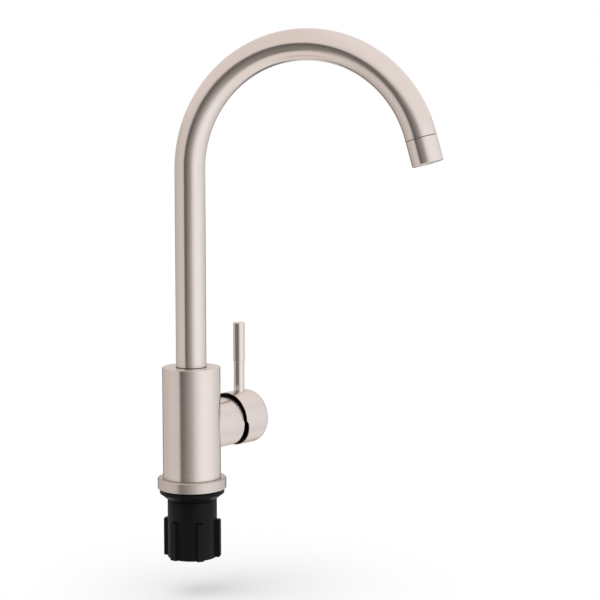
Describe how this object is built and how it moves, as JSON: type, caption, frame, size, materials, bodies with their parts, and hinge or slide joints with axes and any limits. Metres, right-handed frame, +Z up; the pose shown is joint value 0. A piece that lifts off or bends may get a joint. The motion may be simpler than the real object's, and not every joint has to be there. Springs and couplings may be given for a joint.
{
  "type": "kitchen faucet",
  "caption": "Single-lever deck-mounted kitchen faucet with a swivelling gooseneck spout, side pin lever, ceramic cartridge and a ribbed fixing nut under the deck.",
  "frame": {"origin": "on the body's axis, at the deck plane where the base ring's rim rests", "axes": "+Z up out of the deck, +X along the handle's stub, -Y the front of the faucet"},
  "size_m": [0.1123, 0.2265, 0.4323],
  "materials": {
    "brushed_stainless": "fine brushed stainless steel",
    "machined_steel": "turned stainless steel",
    "brass": "turned brass",
    "black_nylon": "moulded black nylon",
    "gloss_black_abs": "glossy black",
    "black_rubber": "matt nitrile rubber",
    "acetal": "white acetal",
    "ceramic": "lapped alumina ceramic"
  },
  "bodies": {
    "body": {"valve_body": "brushed_stainless", "base_ring": "brushed_stainless", "base_ring_seal": "black_rubber", "base_gasket": "black_rubber", "threaded_shank": "brass", "spout_slip_ring": "acetal", "spout_set_screw": "machined_steel", "cartridge_base": "acetal", "cartridge_seals": "black_rubber", "fixed_disc": "ceramic", "cartridge_housing": "acetal", "cartridge_nut": "brass", "dome_cover": "gloss_black_abs"},
    "spout": {"spout_tube": "brushed_stainless", "spout_tail": "brass", "spout_o_rings": "black_rubber", "aerator_collar": "brushed_stainless", "aerator_washer": "black_rubber", "aerator_screen": "machined_steel", "aerator_insert": "acetal"},
    "mixer": {"cartridge_rotor": "acetal", "pivot_pin": "machined_steel"},
    "disc": {"disc_carrier": "acetal", "moving_disc": "ceramic"},
    "handle": {"cartridge_stem": "machined_steel", "handle_hub": "brushed_stainless", "hub_set_screw": "machined_steel", "lever_rod": "brushed_stainless"},
    "washer": {"clamp_washer": "black_nylon"},
    "nut": {"mounting_nut": "black_nylon"}
  },
  "joints": [
    {"name": "spout_swivel", "type": "hinge", "parent": "body", "child": "spout", "pos_m": [0, 0, 0.09], "axis": [0, 0, 1], "continuous": true},
    {"name": "temperature_turn", "type": "hinge", "parent": "body", "child": "mixer", "pos_m": [0.029, 0, 0.0496], "axis": [1, 0, 0], "range_deg": [-45, 45]},
    {"name": "lever_tilt", "type": "hinge", "parent": "mixer", "child": "handle", "pos_m": [0.029, 0, 0.0496], "axis": [0, 1, 0], "range_deg": [0, 22]},
    {"name": "disc_slide", "type": "slide", "parent": "mixer", "child": "disc", "axis": [0, 0, 1], "range_m": [0, 0.00308]},
    {"name": "nut_lift", "type": "slide", "parent": "body", "child": "washer", "axis": [0, 0, -1], "range_m": [0, 0.03001]},
    {"name": "nut_turn", "type": "hinge", "parent": "washer", "child": "nut", "pos_m": [0, 0, -0.02], "axis": [0, 0, -1], "range_deg": [0, 3600]}
  ],
  "couplings": [
    {"joint": "disc_slide", "follows": "lever_tilt", "m_per_rad": 0.008},
    {"joint": "nut_lift", "follows": "nut_turn", "m_per_rad": 0.00047746}
  ]
}
